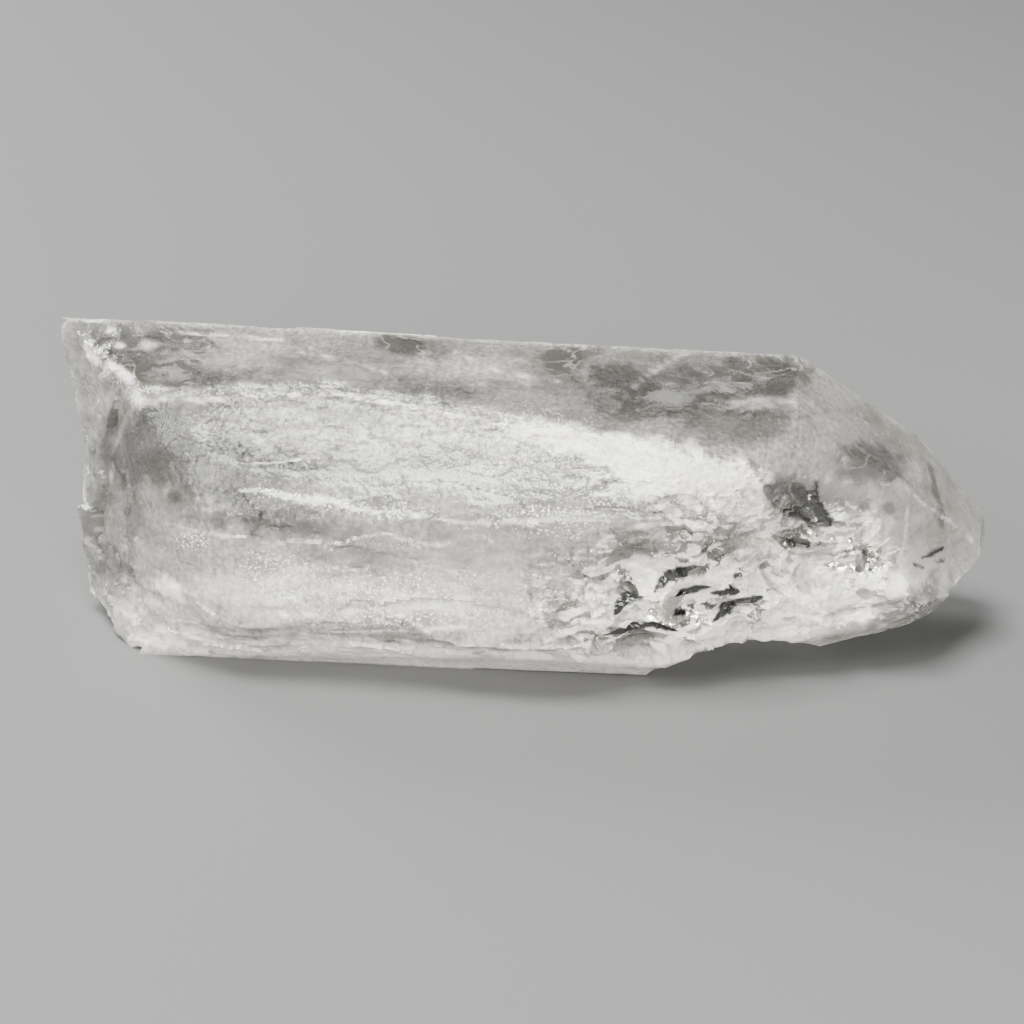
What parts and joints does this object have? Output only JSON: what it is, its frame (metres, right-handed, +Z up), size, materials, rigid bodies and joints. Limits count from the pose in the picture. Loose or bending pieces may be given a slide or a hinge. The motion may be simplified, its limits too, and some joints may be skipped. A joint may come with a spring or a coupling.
{
  "type": "quartz point",
  "caption": "Single natural rock crystal, a six-sided prism with a sharp faceted point at one end and a rough broken root at the other, lying on its side.",
  "frame": {"origin": "bottom centre of the bounding box, on the surface that the crystal lies on", "axes": "+X along the crystal's long axis towards its point, +Z up, -Y the side with the belly fracture"},
  "size_m": [0.0998, 0.0352, 0.0317],
  "materials": {
    "rock_crystal": "clear to milky rock crystal, glossy growth faces, frosted broken root, bright inner veils and fractures"
  },
  "bodies": {
    "root": {"quartz_point": "rock_crystal"}
  },
  "joints": []
}
